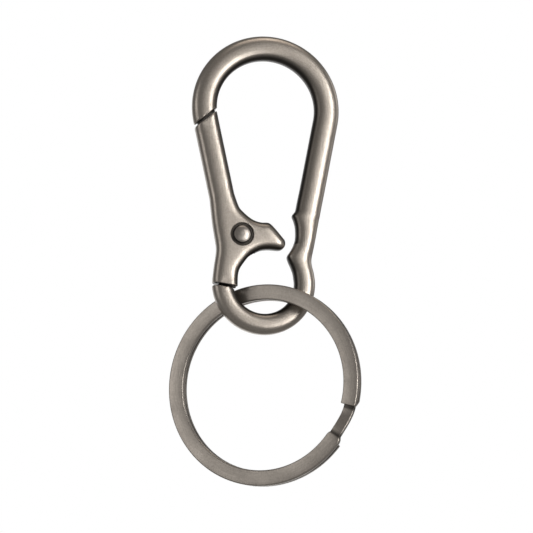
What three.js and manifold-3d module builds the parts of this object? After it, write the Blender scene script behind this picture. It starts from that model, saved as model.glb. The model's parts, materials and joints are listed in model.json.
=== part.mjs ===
// A carabiner keyring: a die-cast hook with a sprung rocker gate, and a split ring of flat wire.
// Units are millimetres. +Z points to the top of the hook, +X to its spine and -Y to its front.
// The origin is the highest point of the hook's inner edge, where it hangs on a belt loop.

import * as THREE from "three";
import { mergeVertices } from "three/addons/utils/BufferGeometryUtils.js";
import Module from "manifold-3d";

const deg = Math.PI / 180;

// Hook: an arc on top, two leaning sides, and a bow at the bottom.
const hookDepth = 4.0; // front face to back face
const barRound = 1.6; // reach of the bar's rounded edge, in from the outline
const leverRound = 1.3; // the same on the gate, which has flatter faces
const roundDepth = 1.6; // reach of both edges, down from the face
const arcOuterRadius = 15.0;
const arcBarWidth = 5.0;
const bowDrop = 35.75; // arc centre to bow centre
const bowShift = -0.4; // the bow sits a little to the gate's side
const bowOuterRadius = 10.4;
const bowBarWidth = 4.2;
const waistRise = 6.0; // bow centre up to the foot of the straight spine
const waistInset = 0.5; // how far that foot lies inside the bow's outer edge
const waistDips = [[-0.2, -1.2], [-0.1, -2.6]]; // points of the waist's curve, from that foot
const waistEnd = 12 * deg; // where the curve meets the bow's outer edge
const bowOuterStart = 4 * deg; // where the bow's round edges begin
const bowInnerStart = 6 * deg;
const bowShoulder = [-0.2, 2.45]; // from the bow's inner edge up towards the notch

// Finger notch in the spine, across from the horn. Its points are from the middle of its floor.
const notchRise = 1.1; // floor of the notch above the rivet
const notchLowerCusp = [[-1.15, -6.8], [-1.75, -5.15]];
const notchCurve = [[-1.0, -3.65], [-0.24, -2.0], [0, 0], [-0.24, 1.9]];
const notchUpperCusp = [-0.7, 3.25];
const spineInnerRise = 5.8; // rivet up to the foot of the straight inner edge

// Cuts that part the gate from the hook.
const noseFall = 15 * deg; // where the upper cut leaves the outer edge, below the arc's centre
const noseSlope = 38.5 * deg; // the upper cut rises towards the inside
const tailFall = 0.7; // where the lower cut leaves the outer edge, below the bow's centre
const tailSlope = -9 * deg; // the lower cut falls towards the inside
const cutGap = 0.45; // free space across each cut
const cutSpare = 3.5; // straight length past each end of the bar, which the cuts take away
const cutOverrun = 5 * deg; // the arc runs on this far before it

// Gate: a lever on a rivet, with a thumb horn that reaches across to the spine.
const rivetX = -5.0;
const rivetDrop = 26.2; // arc centre to rivet centre
const gateBarWidth = 4.95;
const gateFootX = -6.3; // foot of the straight arm's outer edge, from the rivet
const gateFootZ = 7.3;
const armSpare = 4; // the arm's length past the arc, which the upper cut takes away
const hornTipX = 7.5; // centre of the horn's round tip, from the rivet
const hornTipZ = -1.4;
const hornTipRadius = 1.45;
const hornClearance = 2.1; // horn tip to the floor of the notch in the spine
const hornTipFrom = 48 * deg; // round part of the tip
const hornTipTo = -88 * deg;
const hornTopEdge = [[-0.5, 5.75], [0.3, 4.8], [1.5, 3.75], [2.7, 3.05], [4.1, 2.7]];
const hornTopEnd = [5.6, 2.65];
const hornUnderEdge = [[5.6, -2.72], [4.1, -2.9], [2.7, -3.55], [1.6, -4.35], [0.55, -5.75]];
const gateBackEdge = [[-4.97, -2.95], [-5.4, 0.1], [-5.8, 2.6], [-6.05, 4.9]];
const heelReach = 0.9; // the gate's lower end stands this far inside the bow's end
const heelNeckDrop = 7.3; // rivet down to where the horn's underside runs out
const heelNeckInset = 0.1;
const heelDrop = 8.6; // rivet down to the straight inner edge of the lower end
const heelInset = 0.1; // outer edge of the lower end, inside the bow's
const heelStraight = 0.6; // that edge is straight up to here, above the bow's centre
const heelShoulder = [0.3, 3.2]; // then leans in through here
const heelSpare = 4; // length below the bow's centre, which the lower cut takes away
const gateOpening = 22 * deg; // how far the gate swings in

// Slot in the gate, the hook's tongue in it, and the rivet through both.
const slotWidth = 2.2;
const tongueThickness = 1.0;
const tongueEyeRadius = 2.2;
const tongueEyeFrom = 190 * deg; // round part of the eye
const tongueEyeTo = -35 * deg;
const tongueInset = 1.2; // tongue's outer edge inside the bow's, at its root
const tongueHeel = 0.5; // its inner edge outside the bow's inner edge
const tongueDrop = 2.2; // its root below the bow's centre, inside the bar
const slotMouthDrop = 1.2; // the slot is open to the inside from here down, below the rivet
const tongueClearance = 0.35; // around the tongue's outline
const sideClearance = 0.06; // beside the tongue and the spring
const shankRadius = 0.95;
const boreClearance = 0.05;
const recessRadius = 2.33;
const recessDepth = 0.4;
const headRadius = 1.84;
const headHeight = 0.72;
const headRim = 0.3; // share of the height that is upright rim
const tailHeadRadius = 1.6;
const tailHeadHeight = 0.5;
const headGap = 0.03; // under each rivet head

// Spring wound round the rivet, between the gate's front cheek and the tongue.
const springWire = 0.3;
const springRadius = 1.5; // to the middle of the wire
const springLegLength = 5.0;
const springLegFoot = 0.8; // the straight leg ends this far above the rivet
const springTurnGap = 0.03; // between turns
const springEndTurn = 0.125; // part of a turn after the whole ones
const springHook = [[1.2, 0], [2.6, 0], [3.3, 0.1], [3.5, 0.35], [3.5, 0.9]]; // on, and back
const pocketWidth = 0.9; // room for the straight leg in the gate
const pocketRise = 0.4; // above the leg's end

// Split ring: one flat wire of two turns, with a pressed step where it passes from one to the other.
const ringOuterRadius = 20.1;
const wireWidth = 3.1;
const wireThickness = 1.15;
const wireEdge = 0.3;
const coilGap = 0.05; // between the two turns
const ringLift = 2.75; // ring's inner edge above the bow's inner edge
const ringShift = 0.1; // ring's centre from the bow's, towards the spine
const ringPassGap = 1.15; // between the ring and the faces of the bow, where they cross
const freeEndAngle = -15 * deg;
const stepAngle = -36 * deg;
const turnStagger = 1 * deg; // the back turn starts and ends this much earlier
const neckOverlap = 3 * deg; // neck's length inside each turn
const neckRamp = 0.12; // share of the neck that is level at each end
const neckInset = 0.35; // the pressed neck is narrower than the wire, on the inside
const neckOutset = 0.5; // and on the outside
const neckThickness = 1.05;

// Fineness of the facets.
const facetLength = 1.4; // on round outlines
const edgeSteps = 3; // across a rounded edge
const roundSides = 32; // round a pin or a rivet
const coilSides = 12; // along one turn of the spring
const wireSides = 8; // round its wire
const wireSteps = 90; // along the whole of it
const neckSteps = 12; // along the ring's pressed neck
const headAngles = [0, 25, 50, 75]; // up a rivet head's dome, in degrees

// Places worked out from the sizes above.
const arcInnerRadius = arcOuterRadius - arcBarWidth;
const bowInnerRadius = bowOuterRadius - bowBarWidth;
const arcZ = -arcInnerRadius;
const bowX = bowShift;
const bowZ = arcZ - bowDrop;
const rivetZ = arcZ - rivetDrop;
const ringInnerRadius = ringOuterRadius - wireWidth;
const ringX = bowX + ringShift;
const ringZ = bowZ - bowInnerRadius + ringLift - ringInnerRadius;
const noseX = -arcOuterRadius * Math.cos(noseFall); // where the cuts leave the outer edge
const noseZ = arcZ - arcOuterRadius * Math.sin(noseFall);
const tailX = bowX - bowOuterRadius;
const tailZ = bowZ - tailFall;
const cutBlock = 2 * (arcBarWidth + cutSpare) - 1; // takes a bar's spare end, and no more
const tongueY = slotWidth / 2 - sideClearance - tongueThickness / 2;
const tongueLeftX = tailX + tongueInset;
const tongueRightX = tailX + bowBarWidth - tongueHeel;
const tongueRootZ = bowZ - tongueDrop;

const wasm = await Module();
wasm.setup();

// ---------------------------------------------------------------- outlines

const point = (x, z) => new THREE.Vector2(x, z);

// Points given as steps from (x, z).
const pointsFrom = (x, z, steps) => steps.map(([dx, dz]) => point(x + dx, z + dz));

function onCircle(x, z, radius, angle) {
  return point(x + radius * Math.cos(angle), z + radius * Math.sin(angle));
}

// Points on a circle, from one angle to another, both ends included.
function arc(x, z, radius, from, to) {
  const steps = Math.max(2, Math.ceil((radius * Math.abs(to - from)) / facetLength));
  return Array.from({ length: steps + 1 }, (_, i) => {
    return onCircle(x, z, radius, from + ((to - from) * i) / steps);
  });
}

// The point a little further along the circle's tangent; turn is 1 to go on anticlockwise.
function beyond(x, z, radius, angle, turn, length) {
  const along = point(-Math.sin(angle), Math.cos(angle));
  return onCircle(x, z, radius, angle).addScaledVector(along, turn * length);
}

// A smooth curve through a few points.
function through(...points) {
  const curve = new THREE.SplineCurve(points);
  return curve.getSpacedPoints(Math.ceil(curve.getLength() / facetLength));
}

// Angle of the point where a line from (x, z) touches the arc's circle; side is 1 or -1.
function touchAngle(x, z, radius, side) {
  const away = Math.atan2(z - arcZ, x);
  return away + side * Math.acos(radius / Math.hypot(x, z - arcZ));
}

// A flat plate with the given outline in the XZ plane, its edges rounded if asked.
function plate(outline, thickness, y = 0, round = 0, depth = 0) {
  const geometry = new THREE.ExtrudeGeometry(new THREE.Shape(outline), {
    depth: thickness - 2 * depth,
    bevelEnabled: round > 0,
    bevelSize: round,
    bevelOffset: -round,
    bevelThickness: depth,
    bevelSegments: edgeSteps,
  });
  geometry.translate(0, 0, depth - thickness / 2);
  geometry.rotateX(Math.PI / 2);
  geometry.translate(0, y, 0);
  return geometry;
}

// ---------------------------------------------------------------- solids

function solid(geometry) {
  const bare = geometry.index ? geometry.toNonIndexed() : geometry.clone();
  bare.deleteAttribute("normal");
  bare.deleteAttribute("uv");
  const merged = mergeVertices(bare, 1e-4);
  const mesh = new wasm.Mesh({
    numProp: 3,
    vertProperties: merged.attributes.position.array,
    triVerts: new Uint32Array(merged.index.array),
  });
  return new wasm.Manifold(mesh);
}

function geometryOf(body) {
  const mesh = body.getMesh();
  const geometry = new THREE.BufferGeometry();
  geometry.setAttribute("position", new THREE.BufferAttribute(mesh.vertProperties, 3));
  geometry.setIndex(new THREE.BufferAttribute(mesh.triVerts, 1));
  geometry.computeVertexNormals();
  return geometry;
}

// A block with one face on the line through (x, z) at the given slope; it fills the side above.
function blockAbove(x, z, slope, size) {
  const geometry = new THREE.BoxGeometry(size, size, size);
  geometry.translate(0, 0, size / 2);
  geometry.rotateY(-slope);
  geometry.translate(x, 0, z);
  return solid(geometry);
}

function blockBelow(x, z, slope, size) {
  return blockAbove(x, z, slope + Math.PI, size);
}

// A cylinder along Y through (x, z), from one depth to another.
function pin(radius, x, z, fromY, toY) {
  const geometry = new THREE.CylinderGeometry(radius, radius, toY - fromY, roundSides);
  geometry.translate(x, (fromY + toY) / 2, z);
  return solid(geometry);
}

// ---------------------------------------------------------------- hook

// The bar of the hook, a little longer at both ends than it ends up after the cuts.
function hookOutline() {
  const noseEnd = Math.PI + noseFall + cutOverrun;
  const footX = bowX + bowOuterRadius - waistInset;
  const footZ = bowZ + waistRise;
  const lean = touchAngle(footX, footZ, arcOuterRadius, 1);
  const notchX = rivetX + hornTipX + hornTipRadius + hornClearance;
  const notchZ = rivetZ + notchRise;
  const innerX = arcInnerRadius * Math.cos(lean);
  const innerZ = arcZ + arcInnerRadius * Math.sin(lean);
  const innerFootX = innerX + (innerZ - rivetZ - spineInnerRise) * Math.tan(lean);
  return [
    beyond(0, arcZ, arcOuterRadius, noseEnd, 1, cutSpare),
    ...arc(0, arcZ, arcOuterRadius, noseEnd, lean),
    ...through(
      point(footX, footZ),
      ...pointsFrom(footX, footZ, waistDips),
      onCircle(bowX, bowZ, bowOuterRadius, waistEnd),
    ),
    ...arc(bowX, bowZ, bowOuterRadius, bowOuterStart, -Math.PI),
    beyond(bowX, bowZ, bowOuterRadius, -Math.PI, -1, cutSpare),
    beyond(bowX, bowZ, bowInnerRadius, -Math.PI, -1, cutSpare),
    ...arc(bowX, bowZ, bowInnerRadius, -Math.PI, bowInnerStart),
    ...pointsFrom(bowX + bowInnerRadius, bowZ, [bowShoulder]),
    ...pointsFrom(notchX, notchZ, notchLowerCusp),
    ...through(...pointsFrom(notchX, notchZ, notchCurve)),
    ...pointsFrom(notchX, notchZ, [notchUpperCusp]),
    point(innerFootX, rivetZ + spineInnerRise),
    ...arc(0, arcZ, arcInnerRadius, lean, noseEnd),
    beyond(0, arcZ, arcInnerRadius, noseEnd, 1, cutSpare),
  ];
}

// The flat tongue that rises from the bow's end into the gate and carries the rivet.
function tongueOutline() {
  return [
    point(tongueLeftX, tongueRootZ),
    ...arc(rivetX, rivetZ, tongueEyeRadius, tongueEyeFrom, tongueEyeTo),
    point(tongueRightX, tongueRootZ),
  ];
}

function hookBody() {
  const bar = solid(plate(hookOutline(), hookDepth, 0, barRound, roundDepth));
  const bore = shankRadius + boreClearance;
  const tongue = solid(plate(tongueOutline(), tongueThickness, tongueY));
  return bar
    .subtract(blockBelow(noseX, noseZ, noseSlope, cutBlock))
    .subtract(blockAbove(tailX, tailZ, tailSlope, cutBlock))
    .add(tongue)
    .subtract(pin(bore, rivetX, rivetZ, -hookDepth, hookDepth));
}

// ---------------------------------------------------------------- gate

function gateOutline() {
  const footX = rivetX + gateFootX;
  const footZ = rivetZ + gateFootZ;
  const touch = touchAngle(footX, footZ, arcOuterRadius, -1);
  const topX = arcOuterRadius * Math.cos(touch);
  const topZ = arcZ + arcOuterRadius * Math.sin(touch);
  const along = point(topX - footX, topZ - footZ).normalize();
  const across = point(along.y, -along.x); // from the outer edge to the inner one
  const reach = Math.hypot(topX - footX, topZ - footZ) + armSpare;
  const armTop = point(footX, footZ).addScaledVector(along, reach);
  const armInner = armTop.clone().addScaledVector(across, gateBarWidth);
  const tipX = rivetX + hornTipX;
  const tipZ = rivetZ + hornTipZ;
  const fromRivet = (steps) => pointsFrom(rivetX, rivetZ, steps);
  const lowX = tailX + heelInset;
  const lowZ = bowZ - heelSpare;
  const lowInnerX = tailX + bowBarWidth + heelReach;
  return [
    armTop,
    armInner,
    point(footX, footZ).addScaledVector(across, gateBarWidth),
    ...through(...fromRivet(hornTopEdge)),
    ...fromRivet([hornTopEnd]),
    ...arc(tipX, tipZ, hornTipRadius, hornTipFrom, hornTipTo),
    ...through(...fromRivet(hornUnderEdge)),
    point(lowInnerX - heelNeckInset, rivetZ - heelNeckDrop),
    point(lowInnerX, rivetZ - heelDrop),
    point(lowInnerX, lowZ),
    point(lowX, lowZ),
    point(lowX, bowZ + heelStraight),
    ...through(...pointsFrom(lowX, bowZ, [heelShoulder]), ...fromRivet(gateBackEdge)),
    point(footX, footZ),
  ];
}

// Where the tongue goes as the gate swings, with its clearance: open to the inside and below.
function slotOutline() {
  const eye = tongueEyeRadius + tongueClearance;
  const swung =
    (tongueRightX - rivetX) * Math.cos(gateOpening) +
    (rivetZ - tongueRootZ) * Math.sin(gateOpening);
  const openX = rivetX + Math.max(eye, swung + tongueClearance);
  return [
    point(tongueLeftX - tongueClearance, tongueRootZ),
    ...arc(rivetX, rivetZ, eye, tongueEyeFrom, 0),
    point(openX, rivetZ - slotMouthDrop),
    point(openX, tongueRootZ),
  ];
}

function gateLever() {
  const lever = solid(plate(gateOutline(), hookDepth, 0, leverRound, roundDepth));
  const gapX = cutGap * Math.sin(noseSlope);
  const gapZ = cutGap * Math.cos(noseSlope);
  const floor = hookDepth / 2 - recessDepth;
  const pocketTop = springLegLength + pocketRise;
  const pocket = new THREE.BoxGeometry(pocketWidth, slotWidth / 2, pocketTop);
  pocket.translate(
    rivetX - springRadius - springWire / 2 - sideClearance + pocketWidth / 2,
    -slotWidth / 4,
    rivetZ + pocketTop / 2,
  );
  return lever
    .subtract(blockAbove(noseX + gapX, noseZ - gapZ, noseSlope, cutBlock))
    .subtract(blockBelow(tailX, tailZ + cutGap, tailSlope, cutBlock))
    .subtract(solid(plate(slotOutline(), slotWidth)))
    .subtract(solid(pocket))
    .subtract(pin(shankRadius + boreClearance, rivetX, rivetZ, -hookDepth, hookDepth))
    .subtract(pin(recessRadius, rivetX, rivetZ, -hookDepth, -floor))
    .subtract(pin(recessRadius, rivetX, rivetZ, floor, hookDepth));
}

// ---------------------------------------------------------------- rivet and spring

// Domed head in front, plain shank, and a lower head formed behind.
function rivet() {
  const under = hookDepth / 2 - recessDepth + headGap;
  const dome = (radius, height, side) =>
    headAngles.map((a) => {
      const rise = height * (headRim + (1 - headRim) * Math.sin(a * deg));
      return point(radius * Math.cos(a * deg), side * (under + rise));
    });
  const profile = [
    point(0, -under - tailHeadHeight),
    ...dome(tailHeadRadius, tailHeadHeight, -1).reverse(),
    point(tailHeadRadius, -under),
    point(shankRadius, -under),
    point(shankRadius, under),
    point(headRadius, under),
    ...dome(headRadius, headHeight, 1),
    point(0, under + headHeight),
  ];
  const geometry = new THREE.LatheGeometry(profile, roundSides);
  geometry.rotateX(Math.PI);
  return solid(geometry);
}

// One leg up the gate's arm, turns round the rivet, and a short leg hooked over the tongue's edge.
function spring() {
  const frontY = -slotWidth / 2 + sideClearance + springWire / 2;
  const backY = tongueY - tongueThickness / 2 - sideClearance - springWire / 2;
  const turns = Math.floor((backY - frontY) / (springWire + springTurnGap)) + springEndTurn;
  const start = Math.PI;
  const end = start + turns * 2 * Math.PI;
  const coilSteps = Math.round(turns * coilSides);
  const coil = Array.from({ length: coilSteps + 1 }, (_, i) => {
    const angle = start + ((end - start) * i) / coilSteps;
    const y = frontY + ((backY - frontY) * i) / coilSteps;
    return new THREE.Vector3(springRadius * Math.cos(angle), y, springRadius * Math.sin(angle));
  });
  const last = coil[coil.length - 1];
  const onward = ([length, back]) =>
    new THREE.Vector3(
      last.x - length * Math.sin(end),
      backY + back,
      last.z + length * Math.cos(end),
    );
  const route = [
    new THREE.Vector3(-springRadius, frontY, springLegLength),
    new THREE.Vector3(-springRadius, frontY, springLegLength / 2),
    new THREE.Vector3(-springRadius, frontY, springLegFoot),
    ...coil,
    ...springHook.map(onward),
  ];
  const round = new THREE.Path().absarc(0, 0, springWire / 2, 0, 2 * Math.PI);
  const section = new THREE.Shape(round.getSpacedPoints(wireSides).slice(1));
  const geometry = new THREE.ExtrudeGeometry(section, {
    extrudePath: new THREE.CatmullRomCurve3(route, false, "centripetal"),
    steps: wireSteps,
    bevelEnabled: false,
  });
  return solid(geometry);
}

// ---------------------------------------------------------------- split ring

// One turn of the flat wire, from one end angle to the other.
function turn(from, to, y) {
  const outline = [
    ...arc(0, 0, ringOuterRadius, from, to),
    ...arc(0, 0, ringInnerRadius, to, from),
  ];
  return solid(plate(outline, wireThickness, y, wireEdge, wireEdge));
}

// The path of the pressed neck: round the ring and from the front turn to the back one.
class StepCurve extends THREE.Curve {
  constructor(radius, from, to, fromY, toY) {
    super();
    Object.assign(this, { radius, from, to, fromY, toY });
  }
  getPoint(t, target = new THREE.Vector3()) {
    const angle = this.from + (this.to - this.from) * t;
    const share = THREE.MathUtils.smoothstep(t, neckRamp, 1 - neckRamp);
    const y = this.fromY + (this.toY - this.fromY) * share;
    return target.set(this.radius * Math.cos(angle), y, this.radius * Math.sin(angle));
  }
}

function splitRing() {
  const layerY = (wireThickness + coilGap) / 2;
  const inner = ringInnerRadius + neckInset;
  const outer = ringOuterRadius - neckOutset;
  const halfWidth = (outer - inner) / 2;
  const half = neckThickness / 2;
  const neckPath = new StepCurve(
    (inner + outer) / 2,
    stepAngle - neckOverlap,
    freeEndAngle + neckOverlap,
    -layerY,
    layerY,
  );
  const section = new THREE.Shape([
    point(-half, -halfWidth),
    point(half, -halfWidth),
    point(half, halfWidth),
    point(-half, halfWidth),
  ]);
  const neck = new THREE.ExtrudeGeometry(section, {
    extrudePath: neckPath,
    steps: neckSteps,
    bevelEnabled: false,
  });
  const lap = stepAngle + 2 * Math.PI;
  return turn(freeEndAngle, lap, -layerY)
    .add(turn(freeEndAngle - turnStagger, lap - turnStagger, layerY))
    .add(solid(neck));
}

// The ring leans to the side just enough to pass behind one side of the bow and before the other.
function ringYaw() {
  const bowMiddle = bowOuterRadius - bowBarWidth / 2;
  const ringMiddle = ringOuterRadius - wireWidth / 2;
  const drop = bowZ - ringZ;
  const fall = (bowMiddle ** 2 - ringMiddle ** 2 + drop ** 2) / (2 * drop);
  const crossing = Math.sqrt(bowMiddle ** 2 - fall ** 2);
  const clear = hookDepth / 2 + ringPassGap;
  const halfPack = wireThickness + coilGap / 2;
  return Math.atan2(clear, crossing) + Math.asin(halfPack / Math.hypot(crossing, clear));
}

// ---------------------------------------------------------------- assembly

const plating = (color, roughness) =>
  new THREE.MeshStandardMaterial({ color, roughness, metalness: 1 });

function part(name, body, material) {
  const mesh = new THREE.Mesh(geometryOf(body), material);
  mesh.name = name;
  return mesh;
}

const keyring = new THREE.Group();

keyring.add(part("hook_body", hookBody(), plating(0x827c76, 0.38)));
keyring.add(part("gate_lever", gateLever(), plating(0x827c76, 0.38)));

const pivotRivet = part("pivot_rivet", rivet(), plating(0x6e6965, 0.32));
pivotRivet.position.set(rivetX, 0, rivetZ);
keyring.add(pivotRivet);

const gateSpring = part("gate_spring", spring(), plating(0xb9b9b6, 0.3));
gateSpring.position.set(rivetX, 0, rivetZ);
keyring.add(gateSpring);

const ring = part("split_ring", splitRing(), plating(0x8b857e, 0.34));
ring.position.set(ringX, 0, ringZ);
ring.rotation.z = -ringYaw();
keyring.add(ring);

export default keyring;
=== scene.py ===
# %% [markdown]
# # A carabiner keyring
# A die-cast key hook with a sprung rocker gate, and a split ring of flat wire through its bow.
# The frame gives the real sizes and the joints. Each piece below is modelled smooth and fine in
# millimetres, then made small once, so that its place is in its mesh.

# %% The frame
import json
import math

import bpy
from mathutils import Matrix, Vector


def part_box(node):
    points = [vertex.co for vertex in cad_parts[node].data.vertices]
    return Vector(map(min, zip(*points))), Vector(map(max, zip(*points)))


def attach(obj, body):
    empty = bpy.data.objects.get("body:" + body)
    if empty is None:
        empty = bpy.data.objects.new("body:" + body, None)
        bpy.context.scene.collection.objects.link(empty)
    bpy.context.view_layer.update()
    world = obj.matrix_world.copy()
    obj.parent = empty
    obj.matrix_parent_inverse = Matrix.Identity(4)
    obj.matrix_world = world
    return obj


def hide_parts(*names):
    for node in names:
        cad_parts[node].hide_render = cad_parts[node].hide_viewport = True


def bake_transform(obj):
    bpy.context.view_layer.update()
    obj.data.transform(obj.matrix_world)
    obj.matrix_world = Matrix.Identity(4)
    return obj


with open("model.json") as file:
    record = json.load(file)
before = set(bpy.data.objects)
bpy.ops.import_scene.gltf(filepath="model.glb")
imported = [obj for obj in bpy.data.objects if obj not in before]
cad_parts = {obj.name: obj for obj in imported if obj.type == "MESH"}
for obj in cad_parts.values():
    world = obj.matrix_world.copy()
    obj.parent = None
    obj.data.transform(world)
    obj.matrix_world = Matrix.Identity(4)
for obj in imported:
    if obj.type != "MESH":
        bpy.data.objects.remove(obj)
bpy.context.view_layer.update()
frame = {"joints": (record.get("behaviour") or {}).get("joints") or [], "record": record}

MM = 0.001
DEG = math.pi / 180

# %% [markdown]
# ## Sizes
# Everything that must meet the frame is read from it: the arc, the depth of the bar, the rivet, the
# ring. The rest are the sizes a maker would have on the drawing, named once.

# %% Sizes, in millimetres
hook_low, hook_high = (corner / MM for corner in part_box("hook_body"))
ring_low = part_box("split_ring")[0] / MM
pivots = {joint["name"]: Vector(joint["pos_m"]) / MM for joint in frame["joints"]}
rivet_at = pivots["gate_pivot"]
ring_at = pivots["ring_turn"]

half_depth = hook_high.y
arc_outer = hook_high.x
arc_inner = arc_outer - hook_high.z
arc_z = -arc_inner
bow_x = -0.4
bow_outer = 10.4
bow_inner = 6.2
bow_z = hook_low.z + bow_outer
side_lean = 11 * DEG
cut_gap = 0.45
nose_slope = 38.5 * DEG
tail_slope = -9 * DEG
nose_cut = Vector((-arc_outer * math.cos(15 * DEG), 0, arc_z - arc_outer * math.sin(15 * DEG)))
tail_cut = Vector((bow_x - bow_outer, 0, bow_z - 0.7))
shank_radius = 0.95
pin_clearance = 0.05
slot_half = 1.1
ring_outer = ring_at.z - ring_low.z
wire_width = 3.1
wire_thickness = 1.15
print(f"arc radius {arc_outer:.2f}, bow centre height {bow_z:.2f}, ring radius {ring_outer:.2f} mm")

# %% [markdown]
# ## Helpers for working by hand
# Without a window every operator acts on whatever is selected, so each helper first says what that
# is. A rotation there turns from X towards Z when its value is positive, about a given centre.

# %% Selection and edit helpers
def begin():
    """Leaves edit mode and deselects everything."""
    if bpy.context.object and bpy.context.object.mode == "EDIT":
        bpy.ops.object.mode_set(mode="OBJECT")
    bpy.ops.object.select_all(action="DESELECT")


def edit(piece):
    """Opens one piece in edit mode."""
    begin()
    piece.select_set(True)
    bpy.context.view_layer.objects.active = piece
    bpy.ops.object.mode_set(mode="EDIT")


def choose(piece, kind, test):
    """Selects the vertices, edges or faces that pass a test, and no others, in edit mode."""
    bpy.ops.mesh.select_mode(type={"verts": "VERT", "edges": "EDGE", "faces": "FACE"}[kind])
    bpy.ops.mesh.select_all(action="DESELECT")
    bpy.ops.object.mode_set(mode="OBJECT")
    mesh = piece.data
    items = {"verts": mesh.vertices, "edges": mesh.edges, "faces": mesh.polygons}[kind]
    for item in items:
        item.select = bool(test(item))
    bpy.ops.object.mode_set(mode="EDIT")


def recalculate():
    bpy.ops.mesh.select_all(action="SELECT")
    bpy.ops.mesh.normals_make_consistent(inside=False)


def modify(piece, kind, **settings):
    """Adds a modifier, sets it and applies it at once."""
    begin()
    piece.select_set(True)
    bpy.context.view_layer.objects.active = piece
    modifier = piece.modifiers.new(kind.lower(), kind)
    for key, value in settings.items():
        setattr(modifier, key, value)
    bpy.ops.object.modifier_apply(modifier=modifier.name)


def carve(piece, tool, operation="DIFFERENCE"):
    """Cuts a closed solid out of a piece, or joins it on, and takes the solid away."""
    modify(piece, "BOOLEAN", operation=operation, object=tool, solver="EXACT")
    bpy.data.objects.remove(tool)


def place(piece, body, node, slot, material, smooth_angle=32):
    """Shrinks a finished piece from millimetres to metres and ties it to the frame.

    A piece without a body is left free.
    """
    begin()
    piece.select_set(True)
    bpy.context.view_layer.objects.active = piece
    piece.scale = (MM, MM, MM)
    bpy.ops.object.transform_apply(location=True, rotation=True, scale=True)
    bpy.ops.object.shade_smooth_by_angle(angle=smooth_angle * DEG)
    piece.data.materials.clear()
    piece.data.materials.append(material)
    if body:
        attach(piece, body)
    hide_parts(node)
    faces = len(piece.data.polygons)
    print(f"{piece.name}: {faces} faces, {max(piece.dimensions) / MM:.1f} mm long")


# %% Curves through a few points
def ease(t):
    """From 0 to 1 with a soft start and a soft end."""
    t = min(max(t, 0), 1)
    return t * t * (3 - 2 * t)


def smooth(points, steps=6):
    """A Catmull-Rom curve through points of any dimension, ends included."""
    ends = [points[0]] + list(points) + [points[-1]]
    curve = []
    for a, b, c, d in zip(ends, ends[1:], ends[2:], ends[3:]):
        for i in range(steps):
            t = i / steps
            curve.append([
                0.5 * (2 * q + (r - p) * t + (2 * p - 5 * q + 4 * r - s) * t * t
                       + (3 * q - p - 3 * r + s) * t ** 3)
                for p, q, r, s in zip(a, b, c, d)
            ])
    return curve + [list(points[-1])]


def arc_points(x, z, radius, start, stop, steps):
    """Points on a circle, from one angle to another."""
    angles = [start + (stop - start) * i / steps for i in range(steps + 1)]
    return [[x + radius * math.cos(a), z + radius * math.sin(a)] for a in angles]


# %% [markdown]
# ## A bar drawn along its path
# The hook, the spring and the ring are all one section carried along a path. A rounded rectangle is
# drawn once, and then extruded, turned and resized from station to station, as one would by hand.
# A station is the middle of the section, the angle of its width from +X towards +Z, and its half
# width and half depth. This keeps clean four-sided faces all along, with no seams.

# %% Section and sweep
def section(name, half_width, half_height, corner, segments, profile=0.5):
    """A rounded rectangle. The corner is a length, or None for one that takes up every side."""
    begin()
    bpy.ops.mesh.primitive_plane_add(size=2)
    piece = bpy.context.object
    piece.name = name
    bpy.ops.object.mode_set(mode="EDIT")
    bpy.ops.mesh.select_mode(type="VERT")
    bpy.ops.mesh.select_all(action="SELECT")
    bpy.ops.transform.resize(value=(half_width, half_height, 1), center_override=(0, 0, 0))
    if corner:
        bpy.ops.mesh.bevel(
            offset=corner, segments=segments, affect="VERTICES", clamp_overlap=False
        )
    else:
        bpy.ops.mesh.bevel(
            offset_pct=50, offset_type="PERCENT", segments=segments, profile=profile,
            affect="VERTICES", clamp_overlap=False,
        )
        bpy.ops.mesh.select_all(action="SELECT")
        bpy.ops.mesh.remove_doubles(threshold=1e-3)
    bpy.ops.mesh.delete(type="ONLY_FACE")
    bpy.ops.mesh.select_all(action="SELECT")
    return piece


def sweep(piece, stations):
    """Carries the open section along the stations and closes both ends."""
    bpy.ops.object.mode_set(mode="OBJECT")
    count = len(piece.data.vertices)
    bpy.ops.object.mode_set(mode="EDIT")
    bpy.ops.mesh.select_all(action="SELECT")
    middle, angle, width, depth = stations[0]
    bpy.ops.transform.translate(value=middle)
    bpy.ops.transform.rotate(value=angle, orient_axis="Y", center_override=middle)
    for now, turned, wide, deep in stations[1:]:
        bpy.ops.mesh.extrude_region_move(TRANSFORM_OT_translate={"value": now - middle})
        bpy.ops.transform.rotate(value=turned - angle, orient_axis="Y", center_override=now)
        if abs(wide - width) + abs(deep - depth) > 1e-6:
            bpy.ops.transform.resize(
                value=(wide / width, deep / depth, 1),
                orient_type="GLOBAL",
                orient_matrix=Matrix.Rotation(-turned, 3, "Y"),
                orient_matrix_type="GLOBAL",
                center_override=now,
            )
        middle, angle, width, depth = now, turned, wide, deep
    bpy.ops.mesh.edge_face_add()
    choose(piece, "verts", lambda v: v.index < count)
    bpy.ops.mesh.edge_face_add()
    recalculate()
    bpy.ops.object.mode_set(mode="OBJECT")


def station(outer, inner, y=0.0, deep=None):
    """A station between a point on the outer edge and one on the inner edge."""
    out, into = Vector((outer[0], y, outer[1])), Vector((inner[0], y, inner[1]))
    across = out - into
    return [(out + into) / 2, math.atan2(across.z, across.x), across.length / 2, deep or half_depth]


def round_stations(x, z, outer, inner, start, stop, steps):
    """Stations round one centre, each turned by its own angle."""
    outside, inside = (arc_points(x, z, edge, start, stop, steps) for edge in (outer, inner))
    found = [station(a, b) for a, b in zip(outside, inside)]
    for i, entry in enumerate(found):
        entry[1] = start + (stop - start) * i / steps
    return found


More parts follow.
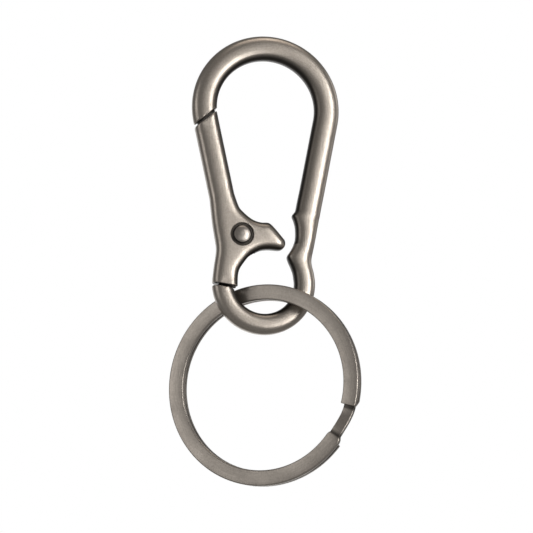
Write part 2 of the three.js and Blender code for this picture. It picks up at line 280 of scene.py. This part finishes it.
# %% [markdown]
# ## The hook's casting
# On the real hook the arc, the leaning spine, the finger notch and the bow are one zinc casting.
# It could be an outline with bevelled edges, but a wide bevel folds over itself at the two small
# cusps of the notch. A section whose width follows the inner and outer edges has no such trouble.

# %% Hook stations
def spine_stations():
    """From the arc down to the bow: inner x and z, then outer x and z."""
    lean = math.tan(side_lean)
    top_in = (arc_inner * math.cos(side_lean), arc_z - arc_inner * math.sin(side_lean))
    top_out = (arc_outer * math.cos(side_lean), arc_z - arc_outer * math.sin(side_lean))
    low_in = (top_in[0] - 14.7 * lean, top_in[1] - 14.7)
    low_out = (top_out[0] - 14.7 * lean, top_out[1] - 14.7)
    straight = [
        [a + (b - a) * i / 14 for a, b in zip(top_in + top_out, low_in + low_out)]
        for i in range(14)
    ]
    x, z = rivet_at.x, rivet_at.z
    keys = [
        [*low_in, *low_out],
        [x + 11.40, z + 7.0, x + 16.35, z + 6.1],
        [x + 11.05, z + 5.35, x + 16.05, z + 4.5],
        [x + 10.38, z + 4.35, x + 15.85, z + 3.6],
        [x + 10.72, z + 3.30, x + 15.68, z + 2.7],
        [x + 11.00, z + 2.20, x + 15.48, z + 1.7],
        [x + 11.10, z + 0.80, x + 15.25, z + 0.4],
        [x + 11.00, z - 0.60, x + 15.00, z - 0.9],
        [x + 10.55, z - 1.90, x + 14.77, z - 2.1],
        [x + 9.95, z - 3.00, x + 14.53, z - 3.2],
        [x + 9.35, z - 4.00, x + 14.33, z - 4.2],
        [x + 9.55, z - 5.00, x + 14.27, z - 5.1],
        [x + 10.10, z - 6.20, x + 14.42, z - 6.1],
        [x + 10.55, z - 7.50, x + 14.72, z - 7.2],
    ]
    start = 4 * DEG
    keys.append([
        bow_x + bow_inner * math.cos(start), bow_z + bow_inner * math.sin(start),
        bow_x + bow_outer * math.cos(start), bow_z + bow_outer * math.sin(start),
    ])
    rows = straight + smooth(keys, 5)
    return [station(row[2:], row[:2]) for row in rows], start


spine, bow_start = spine_stations()
hook_path = (
    round_stations(0, arc_z, arc_outer, arc_inner, 207 * DEG, -side_lean, 110)
    + spine[1:]
    + round_stations(bow_x, bow_z, bow_outer, bow_inner, bow_start, -195 * DEG, 90)[1:]
)
hook = section("hook_casting", hook_path[0][2], half_depth, None, 12, profile=0.6)
sweep(hook, hook_path)
print("hook stations:", len(hook_path))


# %% [markdown]
# ## Cutting the ends
# The gate is parted from the hook by two slanted saw-like cuts, and the plating breaks white along
# their edges because each has a small round on it. The bar was drawn too long at both ends, so a
# bisect gives the clean face and a bevel on its rim gives the round. A low pad is left on the
# nose's face, for the tip of the gate to rest against; it is an inset of that face, extruded.

# %% End cuts
END_SIDES = 12  # a cut end is the only kind of face with more sides than this


def trim(piece, at, slope, keep_above, reach):
    """Cuts one end of a bar on a slanted plane near a point and fills the cut.

    Only the faces within reach of the cut are touched, so the bar's other end stays.
    """
    normal = Vector((-math.sin(slope), 0, math.cos(slope)))
    if keep_above:
        normal.negate()
    middle = at + Vector((math.cos(slope), 0, math.sin(slope))) * 2.3
    edit(piece)
    choose(piece, "faces", lambda face: (face.center - middle).length < reach)
    bpy.ops.mesh.bisect(plane_co=at, plane_no=normal, use_fill=True, clear_outer=True)
    bpy.ops.object.mode_set(mode="OBJECT")


def soften_ends(piece, size):
    """Rounds the rim of every large end face."""
    ends = [face for face in piece.data.polygons if len(face.vertices) > END_SIDES]
    rims = {tuple(sorted(key)) for face in ends for key in face.edge_keys}
    corners = {index for key in rims for index in key}
    edit(piece)
    choose(piece, "verts", lambda vertex: vertex.index in corners)
    bpy.ops.mesh.remove_doubles(threshold=size / 4)
    bpy.ops.object.mode_set(mode="OBJECT")
    ends = [face for face in piece.data.polygons if len(face.vertices) > END_SIDES]
    rims = {tuple(sorted(key)) for face in ends for key in face.edge_keys}
    edit(piece)
    choose(piece, "edges", lambda edge: tuple(sorted(edge.vertices)) in rims)
    bpy.ops.mesh.bevel(offset=size, segments=4, affect="EDGES", clamp_overlap=False)
    recalculate()
    bpy.ops.object.mode_set(mode="OBJECT")
    print(f"{piece.name}: {len(ends)} ends softened by {size} mm")


trim(hook, nose_cut, nose_slope, True, 6.5)
trim(hook, tail_cut, tail_slope, False, 5.5)
soften_ends(hook, 0.28)


def raise_pad(piece, slope, inset, height):
    """Raises a flat pad in the middle of the end whose face looks down the cut."""
    down = Vector((math.sin(slope), 0, -math.cos(slope)))
    edit(piece)
    choose(
        piece, "faces",
        lambda face: len(face.vertices) > END_SIDES and face.normal.dot(down) > 0.99,
    )
    bpy.ops.mesh.inset(thickness=inset)
    move = {"value": down * height}
    bpy.ops.mesh.extrude_region_move(TRANSFORM_OT_translate=move)
    bpy.ops.object.mode_set(mode="OBJECT")


raise_pad(hook, nose_slope, 0.35, 0.32)

# %% [markdown]
# ## Flat pieces drawn as outlines
# A flat tongue rises from the bow's end into the gate, where it carries the rivet. The tongue and
# the gate start as an outline. It could be cut from a block with booleans, but one vertex drawn
# round it by extruding gives the drawing's own points. The loop is filled, and the face is extruded
# to its thickness.

# %% Outline to plate
def plate(name, outline, low_y, high_y):
    """A closed outline in X and Z, filled and extruded along Y."""
    begin()
    bpy.ops.mesh.primitive_plane_add(size=1)
    piece = bpy.context.object
    piece.name = name
    bpy.ops.object.mode_set(mode="EDIT")
    bpy.ops.mesh.select_mode(type="VERT")
    bpy.ops.mesh.select_all(action="SELECT")
    bpy.ops.mesh.merge(type="CENTER")
    last = Vector((outline[0][0], low_y, outline[0][1]))
    bpy.ops.transform.translate(value=last)
    for x, z in outline[1:]:
        here = Vector((x, low_y, z))
        bpy.ops.mesh.extrude_region_move(TRANSFORM_OT_translate={"value": here - last})
        last = here
    bpy.ops.mesh.select_all(action="SELECT")
    bpy.ops.mesh.edge_face_add()
    move = {"value": (0, high_y - low_y, 0)}
    bpy.ops.mesh.extrude_region_move(TRANSFORM_OT_translate=move)
    recalculate()
    bpy.ops.object.mode_set(mode="OBJECT")
    return piece


def drill(radius, low_y, high_y, mouth=0.0):
    """A round cutter along Y at the rivet. With a mouth, the end nearer the outside flares."""
    begin()
    bpy.ops.mesh.primitive_cylinder_add(
        vertices=96, radius=radius, depth=high_y - low_y,
        location=(rivet_at.x, (low_y + high_y) / 2, rivet_at.z), rotation=(90 * DEG, 0, 0),
    )
    cutter = bpy.context.object
    bpy.ops.object.transform_apply(location=True, rotation=True, scale=True)
    if mouth:
        side = 1 if low_y + high_y > 0 else -1
        edit(cutter)
        choose(cutter, "faces", lambda face: face.normal.y * side > 0.9)
        for out, grow in ((mouth * 2, mouth * 2), (1, 0)):
            move = {"value": (0, side * out, 0)}
            bpy.ops.mesh.extrude_region_move(TRANSFORM_OT_translate=move)
            factor = 1 + grow / radius
            centre = (rivet_at.x, 0, rivet_at.z)
            bpy.ops.transform.resize(value=(factor, 1, factor), center_override=centre)
        bpy.ops.object.mode_set(mode="OBJECT")
    return cutter


# %% The tongue
tongue_low, tongue_high = 0.04, 1.04
eye_radius = 2.2
tongue_root = bow_z - 2.2
tongue_outline = (
    [[tail_cut.x + 1.2, tongue_root]]
    + arc_points(rivet_at.x, rivet_at.z, eye_radius, 190 * DEG, -35 * DEG, 48)
    + [[tail_cut.x + 3.7, tongue_root]]
)
tongue = plate("tongue", tongue_outline, tongue_low, tongue_high)
modify(tongue, "BEVEL", width=0.12, segments=3, limit_method="ANGLE", angle_limit=50 * DEG)
carve(tongue, drill(shank_radius + pin_clearance, -3, 3))
carve(hook, tongue, "UNION")
print("hook with tongue:", len(hook.data.polygons), "faces")

# %% [markdown]
# ## The gate
# The gate is the other casting: a bar that ends in a thumb horn, rocking on the rivet. It could be
# swept like the hook, but the horn branches off it, so it is a thick plate with wide round edges.
# Remeshing it evenly and smoothing it a little melts the edges together, as in a die casting that
# has been tumbled. Smoothing it again in depth alone crowns the broad faces a little and keeps the
# outline. The slot, the bore and the two recesses are machined later, so they stay crisp.

# %% The gate's outline
def gate_outline():
    x, z = rivet_at.x, rivet_at.z
    foot = Vector((x - 6.3, z + 7.3))
    centre = Vector((0, arc_z))
    away = foot - centre
    touch = math.atan2(away.y, away.x) - math.acos(arc_outer / away.length)
    top = centre + arc_outer * Vector((math.cos(touch), math.sin(touch)))
    along = (top - foot).normalized()
    across = Vector((along.y, -along.x)) * 4.95
    arm_top = top + along * 4
    inner_foot = foot + across
    horn = smooth([
        [inner_foot.x, inner_foot.y], [x - 0.5, z + 5.75], [x + 0.3, z + 4.8], [x + 1.5, z + 3.75],
        [x + 2.7, z + 3.05], [x + 4.1, z + 2.7], [x + 5.6, z + 2.65], [x + 6.9, z + 1.5],
        [x + 8.45, z - 0.35],
    ], 6)
    tip = arc_points(x + 7.5, z - 1.4, 1.45, 30 * DEG, -88 * DEG, 22)
    low_x = tail_cut.x + 4.2 + 0.9
    under = smooth([
        [x + 5.6, z - 2.72], [x + 4.1, z - 2.9], [x + 2.7, z - 3.55], [x + 1.6, z - 4.35],
        [x + 0.50, z - 5.75], [low_x + 0.36, z - 7.1], [low_x + 0.06, z - 8.4],
        [low_x, z - 9.8],
    ], 6)
    back = smooth([
        [tail_cut.x + 0.1, bow_z + 0.6], [tail_cut.x + 0.4, bow_z + 3.2], [x - 4.97, z - 2.95],
        [x - 5.4, z + 0.1], [x - 5.8, z + 2.6], [x - 6.05, z + 4.9], [foot.x, foot.y],
    ], 8)
    heel = [[low_x, bow_z - 4], [tail_cut.x + 0.1, bow_z - 4]]
    arm = [[*(foot.lerp(arm_top, i / 12))] for i in range(1, 13)]
    inner_arm = [[*((arm_top + across).lerp(inner_foot, i / 12))] for i in range(12)]
    return inner_arm + horn[:-1] + tip + under + heel + back[:-1] + [[foot.x, foot.y]] + arm


gate = plate("gate_casting", gate_outline(), -half_depth, half_depth)
print("gate outline:", len(gate_outline()), "points")

# %% Its wide round edges, and the parting cuts
edge_round = 1.42
edit(gate)
choose(gate, "edges", lambda edge: abs(sum(gate.data.vertices[i].co.y for i in edge.vertices))
       > 2 * half_depth - 1e-3)
bpy.ops.mesh.bevel(
    offset=edge_round, segments=10, profile=0.5, affect="EDGES", clamp_overlap=False
)
bpy.ops.object.mode_set(mode="OBJECT")
across_cut = Vector((math.sin(nose_slope), 0, -math.cos(nose_slope))) * cut_gap
trim(gate, nose_cut + across_cut, nose_slope, False, 60)
trim(gate, tail_cut + Vector((0, 0, cut_gap)), tail_slope, True, 60)

# %% Cast softness
modify(gate, "REMESH", mode="VOXEL", voxel_size=0.11, adaptivity=0.0)
modify(gate, "SMOOTH", factor=0.5, iterations=28)
crown = gate.vertex_groups.new(name="crown")
for vertex in gate.data.vertices:
    nose = (vertex.co - nose_cut - across_cut).dot(across_cut) / cut_gap
    tail = vertex.co.z - tail_cut.z - cut_gap
    crown.add([vertex.index], ease((min(abs(nose), abs(tail)) - 0.3) / 1.5), "REPLACE")
modify(
    gate, "SMOOTH", factor=0.5, iterations=320, use_x=False, use_z=False, vertex_group="crown"
)
gate.vertex_groups.clear()
print("gate after casting:", len(gate.data.polygons), "faces")

# %% Slot, bore, recesses and the pocket for the spring's leg
recess_radius, recess_floor, recess_top, recess_mouth = 2.33, 1.6, 1.9, 0.14
slot_outline = (
    [[tail_cut.x + 0.85, tongue_root]]
    + arc_points(rivet_at.x, rivet_at.z, eye_radius + 0.35, 190 * DEG, 0, 48)
    + [[rivet_at.x + 2.8, rivet_at.z - 1.2], [rivet_at.x + 2.8, tongue_root]]
)
carve(gate, plate("slot", slot_outline, -slot_half, slot_half))
carve(gate, drill(shank_radius + pin_clearance, -4, 4))
for low_y, high_y in ((-recess_top, -recess_floor), (recess_floor, recess_top)):
    carve(gate, drill(recess_radius, low_y, high_y, mouth=recess_mouth))
pocket_outline = [
    [rivet_at.x - 1.71, rivet_at.z], [rivet_at.x - 0.81, rivet_at.z],
    [rivet_at.x - 0.81, rivet_at.z + 5.4], [rivet_at.x - 1.71, rivet_at.z + 5.4],
]
carve(gate, plate("pocket", pocket_outline, -slot_half, 0))
print("gate:", len(gate.data.polygons), "faces")

# %% [markdown]
# ## The rivet
# A turned pin whose front head is domed by the rivet set, and whose back head is formed lower. It
# could be a cylinder and two spheres, but a profile spun about its axis keeps the flat under each
# head in one piece with the shank.

# %% Rivet
def spun(name, profile, segments):
    """A profile of radius and depth along Y, spun round the rivet's axis."""
    begin()
    bpy.ops.mesh.primitive_plane_add(size=1)
    piece = bpy.context.object
    piece.name = name
    bpy.ops.object.mode_set(mode="EDIT")
    bpy.ops.mesh.select_mode(type="VERT")
    bpy.ops.mesh.select_all(action="SELECT")
    bpy.ops.mesh.merge(type="CENTER")
    axis = Vector((rivet_at.x, 0, rivet_at.z))
    last = axis + Vector((profile[0][0], profile[0][1], 0))
    bpy.ops.transform.translate(value=last)
    for radius, y in profile[1:]:
        here = axis + Vector((radius, y, 0))
        bpy.ops.mesh.extrude_region_move(TRANSFORM_OT_translate={"value": here - last})
        last = here
    bpy.ops.mesh.select_all(action="SELECT")
    bpy.ops.mesh.spin(steps=segments, angle=2 * math.pi, center=axis, axis=(0, 1, 0))
    bpy.ops.mesh.select_all(action="SELECT")
    bpy.ops.mesh.remove_doubles(threshold=1e-4)
    recalculate()
    bpy.ops.object.mode_set(mode="OBJECT")
    return piece


under_head, front_height, back_height = 1.63, 0.72, 0.5


def dome(radius, height, step):
    """From the rim to the top of a head; its rim stands up straight for 0.3 of its height."""
    return [
        [radius * math.cos(a * DEG), height * (0.3 + 0.7 * math.sin(a * DEG))]
        for a in range(0, 90, step)
    ]


front_dome = [[r, -under_head - y] for r, y in dome(1.84, front_height, 5)]
back_dome = [[r, under_head + y] for r, y in dome(1.6, back_height, 6)]
rivet_profile = (
    [[0, -under_head - front_height]] + front_dome[::-1]
    + [[1.80, -under_head - 0.03], [1.74, -under_head], [shank_radius, -under_head]]
    + [[shank_radius, under_head], [1.52, under_head], [1.58, under_head + 0.03]]
    + back_dome + [[0, under_head + back_height]]
)
rivet = spun("rivet_head", rivet_profile, 96)
print("rivet:", len(rivet.data.polygons), "faces")

# %% [markdown]
# ## The spring
# Hardened wire wound twice round the rivet, one leg up inside the gate's arm and the other against
# the tongue. It is the same sweep as the hook's, with a round section, and hardly shows. A helix
# from a screw modifier would need its two legs joined on, and one wire has no joints.

# %% Spring
coil_radius, spring_wire = 1.5, 0.15


def spring_path():
    """Down the upper leg, round the rivet, and out along the lower leg."""
    front_y, back_y = -0.89, -0.17
    x, z, radius, wire = rivet_at.x, rivet_at.z, coil_radius, spring_wire
    turns = 2.125 * 2 * math.pi
    path = [
        [Vector((x - radius, front_y, z + 5 * (1 - i / 12))), math.pi, wire, wire]
        for i in range(12)
    ]
    steps = 90
    for i in range(steps + 1):
        angle = math.pi + turns * i / steps
        y = front_y + (back_y - front_y) * i / steps
        middle = Vector((x + radius * math.cos(angle), y, z + radius * math.sin(angle)))
        path.append([middle, angle, wire, wire])
    end = path[-1][0]
    onward = Vector((-math.sin(angle), 0, math.cos(angle)))
    return path + [[end + onward * step, angle, wire, wire] for step in (1.0, 2.0, 3.1)]


spring = section("spring_coil", spring_wire, spring_wire, 0.088, 3)
sweep(spring, spring_path())
print("spring:", len(spring.data.polygons), "faces")

# %% [markdown]
# ## The split ring
# One flat wire wound twice. Where it passes from the front turn to the back one the press has
# squeezed it narrower and stepped it. Two flat rings would be easier, but they would not hold the
# step. Because it is one wire it is swept in one go, with the step in its stations, and the seam
# between the turns is a real gap.

# %% Split ring
turn_gap = 0.05
wire_start, wire_stations, wire_stride = -15, 465, 1.5  # the wire runs for 464 strides, in degrees
step_start, step_length = 326, 17.5
neck_start, neck_end, neck_run = 323.2, 347.5, 2.2
neck_half_width, neck_thinning, neck_shift = 1.14, 0.05, 0.08


def ring_path():
    """The wire's stations, wound flat round the origin."""
    layer = (wire_thickness + turn_gap) / 2
    middle_radius = ring_outer - wire_width / 2
    path = []
    for i in range(wire_stations):
        degrees = wire_start + i * wire_stride
        step = ease((degrees - step_start) / step_length)
        neck = ease((degrees - neck_start) / neck_run) * ease((neck_end - degrees) / neck_run)
        width = wire_width / 2 + (neck_half_width - wire_width / 2) * neck
        depth = wire_thickness / 2 - neck_thinning * neck
        radius = middle_radius - neck_shift * neck
        angle = degrees * DEG
        y = -layer + 2 * layer * step
        middle = Vector((radius * math.cos(angle), y, radius * math.sin(angle)))
        path.append([middle, angle, width, depth])
    return path


ring = section("ring_wire", wire_width / 2, wire_thickness / 2, 0.3, 5)
sweep(ring, ring_path())
soften_ends(ring, 0.14)
face = next(m for m in frame["record"]["mounts"] if m["name"] == "key_ring_face")
yaw = math.atan2(-face["axis"][0], -face["axis"][1])
print("ring:", len(ring.data.polygons), "faces")


# %% [markdown]
# ## Painted shade
# The walls round each opening are darkened as painted shade. How far a face looks into an opening
# is written on the vertices, so that the plating can follow it.

# %% Which way the openings lie
def opening_near(co):
    """The middle of the opening that a point borders on."""
    if co.z > rivet_at.z - 1.5:
        return Vector((0.5, 0, min(max(co.z, rivet_at.z + 5), arc_z)))
    return Vector((bow_x, 0, bow_z + 1.0))


def write_painted_shade(piece, middle):
    """Stores on each vertex how far its normal points to the middle of the opening, as its painted
    shade.
    """
    mesh = piece.data
    attribute = mesh.attributes.new("painted_shade", "FLOAT", "POINT")
    for vertex, item in zip(mesh.vertices, attribute.data):
        towards = (middle(vertex.co) - vertex.co) * Vector((1, 0, 1))
        item.value = max(0.0, vertex.normal.dot(towards.normalized()))


# Painted shade on the hook's and the gate's walls that face into an opening.
for piece in (hook, gate):
    write_painted_shade(piece, opening_near)


def add_painted_shade(piece, amount):
    """Raises the painted shade where a function of the vertex says that shade would fall."""
    mesh = piece.data
    attribute = mesh.attributes.get("painted_shade") or mesh.attributes.new("painted_shade", "FLOAT", "POINT")
    for vertex, item in zip(mesh.vertices, attribute.data):
        item.value = max(item.value, amount(vertex.co))


# %% Where the painted shade goes: recesses, cuts, the ring's seam and the rivet's rim
def from_rivet(co):
    """The distance from the rivet's axis."""
    return math.hypot(co.x - rivet_at.x, co.z - rivet_at.z)


def in_recess(co):
    """On the floor and the wall of the recess round either head."""
    return 1.0 if abs(co.y) < 1.78 and from_rivet(co) < 2.45 else 0.0


def in_cut(co):
    """Inside either parting cut, or on its faces."""
    nose = (co - nose_cut).dot(Vector((math.sin(nose_slope), 0, -math.cos(nose_slope))))
    tail = (co - tail_cut).dot(Vector((-math.sin(tail_slope), 0, math.cos(tail_slope))))
    near_nose = co.x < -9 and co.z > -18 and -0.06 < nose < cut_gap + 0.08
    near_tail = co.x < -5 and co.z < -44 and -0.06 < tail < cut_gap + 0.08
    return 1.0 if near_nose or near_tail else 0.0


def in_seam(co):
    """Between the two turns of the wire, and over the pressed neck."""
    angle = math.atan2(co.z, co.x) / DEG
    neck = ease((angle + 36.5) / 2) * ease((-15.2 - angle) / 0.6)
    ends = max(ease((-31.0 - angle) / 4), ease((angle + 19.0) / 3))
    return max(ease((0.30 - abs(co.y)) / 0.12) * (neck < 0.5), neck * (0.16 + 0.7 * ends))


# Painted shade in the rivet recesses, in the parting cuts, in the ring's seam and over its neck,
# and round the rim of each rivet head.
add_painted_shade(gate, in_recess)
add_painted_shade(gate, in_cut)
add_painted_shade(hook, in_cut)
add_painted_shade(ring, in_seam)
add_painted_shade(rivet, lambda co: ease((from_rivet(co) - 1.45) / 0.4))
print("shelter written on:", [piece.name for piece in (hook, gate, ring, rivet)])

# %% [markdown]
# ## Plating
# Everything is plated in the same dark nickel. The castings are tumbled, which leaves a satin with
# fine lines along the bar; the ring's wire is drawn flat, so its lines run round it. One small
# class lets the shader maths be written as sums, and one method adds any other node.

# %% Shader maths
class Value:
    """A shader socket that can be added, multiplied and compared like a number."""

    def __init__(self, tree, socket):
        self.tree, self.socket = tree, socket

    def math(self, operation, other=None, first=None):
        node = self.tree.nodes.new("ShaderNodeMath")
        node.operation = operation
        for slot, item in zip(node.inputs, (self if first is None else first, other)):
            if isinstance(item, Value):
                self.tree.links.new(item.socket, slot)
            elif item is not None:
                slot.default_value = item
        return Value(self.tree, node.outputs[0])

    def node(self, kind, output, inputs=None, **settings):
        """Any other node, with its named inputs set or linked; gives one of its outputs."""
        made = self.tree.nodes.new(kind)
        for key, item in settings.items():
            setattr(made, key, item)
        for key, item in (inputs or {}).items():
            if isinstance(item, Value):
                self.tree.links.new(item.socket, made.inputs[key])
            else:
                made.inputs[key].default_value = item
        return Value(self.tree, made.outputs[output])

    def __add__(self, other):
        return self.math("ADD", other)

    def __sub__(self, other):
        return self.math("SUBTRACT", other)

    def __mul__(self, other):
        return self.math("MULTIPLY", other)

    def __rsub__(self, other):
        return self.math("SUBTRACT", self, first=other)

    __radd__ = __add__
    __rmul__ = __mul__

    def root(self):
        return self.math("SQRT")

    def atleast(self, limit):
        return self.math("MAXIMUM", limit)

    def clamp(self):
        return self.node("ShaderNodeClamp", 0, {0: self})


# %% One plating recipe
def plating(name, colour, roughness, centre, straight, tilt=0.0, dark=0.13):
    """Satin plating whose fine lines run round a centre above or below, and straight between, with
    painted shade where the vertices carry it.
    """
    material = bpy.data.materials.new(name)
    material.use_nodes = True
    tree = material.node_tree
    shader = tree.nodes["Principled BSDF"]
    start = Value(tree, None)
    where = start.node("ShaderNodeTexCoord", "Object")
    place = start.node(
        "ShaderNodeVectorMath", 0, {0: where, 1: (1 / MM,) * 3}, operation="MULTIPLY"
    )
    if tilt:
        place = start.node(
            "ShaderNodeVectorRotate", 0, {"Vector": place, "Center": centre, "Angle": tilt},
            rotation_type="Z_AXIS",
        )
    split = start.node("ShaderNodeSeparateXYZ", 0, {0: place})
    x, y, z = (Value(tree, split.socket.node.outputs[i]) for i in range(3))
    across = x - centre[0]
    beyond = (z - centre[2]).atleast(0) if straight else z - centre[2]
    radius = (across * across + beyond * beyond).root()
    lines_at = start.node(
        "ShaderNodeCombineXYZ", 0, {0: radius * 7.0, 1: y * 7.0, 2: (z + across * 0.4) * 0.35}
    )
    lines = start.node("ShaderNodeTexNoise", 0, {"Vector": lines_at, "Scale": 1.0, "Detail": 3.0})
    blast = start.node("ShaderNodeTexNoise", 0, {"Vector": place, "Scale": 3.2, "Detail": 5.0})
    cloud = start.node("ShaderNodeTexNoise", 0, {"Vector": place, "Scale": 0.22, "Detail": 3.0})
    shine = roughness + (lines - 0.5) * 0.10 + (cloud - 0.5) * 0.14 + (blast - 0.5) * 0.06
    patchy = (cloud * 1.0 + (blast - 0.5) * 1.6 + (lines - 0.5) * 1.0).clamp()
    cloudy = start.node(
        "ShaderNodeMix", 2,
        {0: patchy, 6: (*(c * 1.12 for c in colour), 1), 7: (*(c * 0.80 for c in colour), 1)},
        data_type="RGBA",
    )
    # Painted shade: where the vertices ask for it, the colour is darkened towards dark times the
    # plating colour.
    painted_shade = start.node("ShaderNodeAttribute", "Fac", attribute_name="painted_shade")
    shade_weight = start.node(
        "ShaderNodeMapRange", 0, {0: painted_shade, 1: 0.12, 2: 0.80, 3: 0.0, 4: 1.0},
        interpolation_type="SMOOTHSTEP",
    )
    shaded_colour = start.node(
        "ShaderNodeMix", 2, {0: shade_weight, 6: cloudy, 7: (*(c * dark for c in colour), 1)},
        data_type="RGBA",
    )
    relief = lines * 0.5 + blast * 0.25
    bump = start.node(
        "ShaderNodeBump", 0, {"Height": relief, "Strength": 0.7, "Distance": 0.00004}
    )
    tree.links.new(shaded_colour.socket, shader.inputs["Base Color"])
    tree.links.new(shine.socket, shader.inputs["Roughness"])
    tree.links.new(bump.socket, shader.inputs["Normal"])
    shader.inputs["Metallic"].default_value = 1.0
    return material


# %% The five platings
gunmetal = (0.375, 0.332, 0.288)
hook_centre = (0.0, 0.0, arc_z)
hook_plating = plating("hook plating", gunmetal, 0.34, hook_centre, True)
gate_plating = plating("gate plating", gunmetal, 0.34, hook_centre, True)
rivet_plating = plating("rivet plating", (0.34, 0.305, 0.272), 0.32, tuple(rivet_at), False)
spring_steel = plating("spring steel", (0.62, 0.61, 0.60), 0.22, tuple(rivet_at), False)
ring_plating = plating(
    "ring plating", (0.375, 0.335, 0.294), 0.36, tuple(ring_at), False, tilt=yaw, dark=0.2
)
print("materials:", len(bpy.data.materials))

# %% [markdown]
# ## Placing the pieces
# The ring was wound flat at the middle of the frame, so it is turned and moved to its seat. Then
# each piece is shrunk to metres, tied to the body that carries it, and given its plating. The
# spring's coils stay with the rivet while its upper leg goes with the gate, so it is left free.

# %% Placing
begin()
ring.select_set(True)
bpy.context.view_layer.objects.active = ring
ring.rotation_euler = (0, 0, -yaw)
ring.location = ring_at
bpy.ops.object.transform_apply(location=True, rotation=True, scale=True)
place(hook, "hook", "hook_body", "gunmetal_casting", hook_plating)
place(gate, "gate", "gate_lever", "gunmetal_gate", gate_plating)
place(rivet, "hook", "pivot_rivet", "gunmetal_rivet", rivet_plating)
place(spring, None, "gate_spring", "spring_wire", spring_steel)
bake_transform(spring)
place(ring, "ring", "split_ring", "gunmetal_ring", ring_plating)

# %% [markdown]
# ## The studio
# A plain pale floor far below, a white surround, and six soft boxes. A tall key just right of the
# camera draws the light band along each bar, a wall on each side fills the flanks, a warm one from
# above lights the arc, a thin strip in front lights the bow, and a wide weak one lights the back.
# Dark metal in a white room would turn white, so the floor and the surround light it only a little.
# The camera stands a little to the left and below, with a long lens, so the bars keep their shape.

# %% Floor and surround
floor_seen, floor_reflected = (0.9, 0.9, 0.9, 1), (0.24, 0.24, 0.24, 1)
ambient, added_for_camera, added_for_floor = 0.24, 0.76, 0.96
bpy.ops.mesh.primitive_plane_add(size=60, location=(0, 0, -0.5))
floor = bpy.context.object
floor.name = "floor"
pale = bpy.data.materials.new("pale floor")
pale.use_nodes = True
paint = Value(pale.node_tree, None)
surface = pale.node_tree.nodes["Principled BSDF"]
surface.inputs["Roughness"].default_value = 0.9
glossy_ray = paint.node("ShaderNodeLightPath", "Is Glossy Ray")
tint = paint.node(
    "ShaderNodeMix", 2, {0: glossy_ray, 6: floor_seen, 7: floor_reflected}, data_type="RGBA",
)
pale.node_tree.links.new(tint.socket, surface.inputs["Base Color"])
floor.data.materials.append(pale)

world = bpy.data.worlds.new("studio")
bpy.context.scene.world = world
world.use_nodes = True
air = Value(world.node_tree, None)
backdrop = world.node_tree.nodes["Background"]
strength = (
    air.node("ShaderNodeLightPath", "Is Camera Ray") * added_for_camera
    + air.node("ShaderNodeLightPath", "Is Diffuse Ray") * added_for_floor
    + ambient
)
world.node_tree.links.new(strength.socket, backdrop.inputs["Strength"])
backdrop.inputs["Color"].default_value = (1, 1, 1, 1)
print("floor and surround:", floor.name, world.name)

# %% Soft boxes
def softbox(name, azimuth, elevation, distance, width, height, power):
    """A rectangular lamp aimed at the keyring's middle; azimuth 0 is in front."""
    lamp = bpy.data.lights.new(name, "AREA")
    lamp.shape = "RECTANGLE"
    lamp.size, lamp.size_y = width, height
    lamp.energy = power
    lamp.spread = 75 * DEG
    holder = bpy.data.objects.new(name, lamp)
    bpy.context.collection.objects.link(holder)
    a, e = azimuth * DEG, elevation * DEG
    back = Vector((math.sin(a) * math.cos(e), -math.cos(a) * math.cos(e), math.sin(e)))
    holder.location = Vector((0, 0, -0.04)) + back * distance
    holder.rotation_euler = (-back).to_track_quat("-Z", "Y").to_euler()
    return holder


# Each row is an azimuth and an elevation, a distance, a width and a height, and a power.
softbox("key", 28, 3, 0.55, 0.14, 0.40, 0.30)
softbox("left wall", -66, 8, 0.60, 0.36, 0.46, 0.11)
softbox("top", 24, 66, 0.55, 0.34, 0.22, 0.10).data.color = (1.0, 0.91, 0.82)
softbox("front strip", 10, -8, 0.58, 0.30, 0.05, 0.02)
softbox("right wall", 96, 20, 0.60, 0.30, 0.40, 0.08)
softbox("back", 178, -5, 0.60, 0.90, 0.60, 0.42)
print("soft boxes:", len(bpy.data.lights))

# %% Camera
camera = bpy.data.objects.new("camera", bpy.data.cameras.new("camera"))
bpy.context.collection.objects.link(camera)
bpy.context.scene.camera = camera
azimuth, elevation, distance = -10 * DEG, -10 * DEG, 0.52
field, sensor = 0.1066, 36
aim = Vector((0.0002, 0, -0.0423))
back = Vector((
    math.sin(azimuth) * math.cos(elevation),
    -math.cos(azimuth) * math.cos(elevation),
    math.sin(elevation),
))
camera.location = aim + back * distance
camera.rotation_euler = (-back).to_track_quat("-Z", "Y").to_euler()
camera.data.sensor_width = sensor
camera.data.lens = sensor * distance / field
camera.data.clip_start, camera.data.clip_end = 0.01, 10
bpy.context.scene.view_settings.view_transform = "Standard"
print(f"camera lens {camera.data.lens:.0f} mm at {distance} m")
